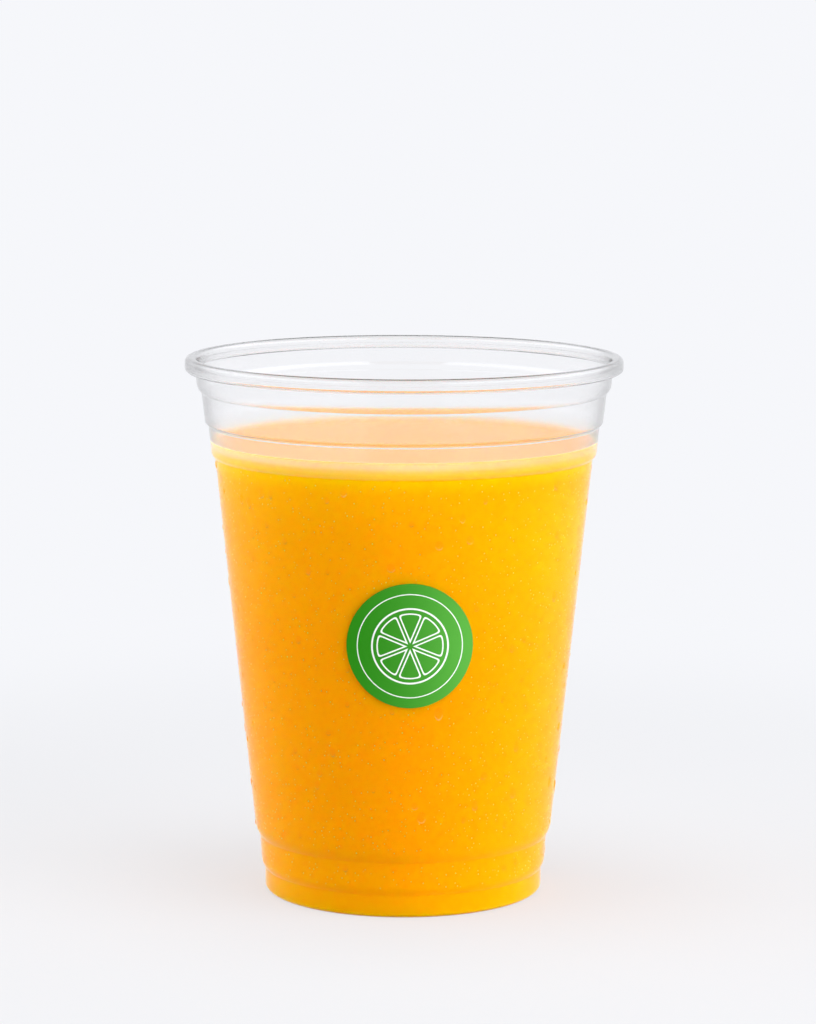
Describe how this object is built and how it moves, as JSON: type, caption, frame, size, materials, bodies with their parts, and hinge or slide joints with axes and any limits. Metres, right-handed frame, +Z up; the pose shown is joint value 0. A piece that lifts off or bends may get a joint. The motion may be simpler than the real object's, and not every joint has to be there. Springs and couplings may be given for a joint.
{
  "type": "cup of orangeade",
  "caption": "Clear tapered plastic cup with a curled rim and moulded ledges, filled with orangeade to below the ledges, with a round sticker on its front.",
  "frame": {"origin": "middle of the foot, on the surface that the cup stands on", "axes": "+Z up along the cup's axis, -Y towards the front, where the sticker is, +X to the right seen from the front"},
  "size_m": [0.0982, 0.0982, 0.1214],
  "materials": {
    "cup": "clear thermoformed plastic",
    "drink": "cloudy orange liquid",
    "sticker": "satin printed film"
  },
  "bodies": {
    "root": {"cup": "cup", "drink": "drink", "sticker": "sticker"}
  },
  "joints": []
}
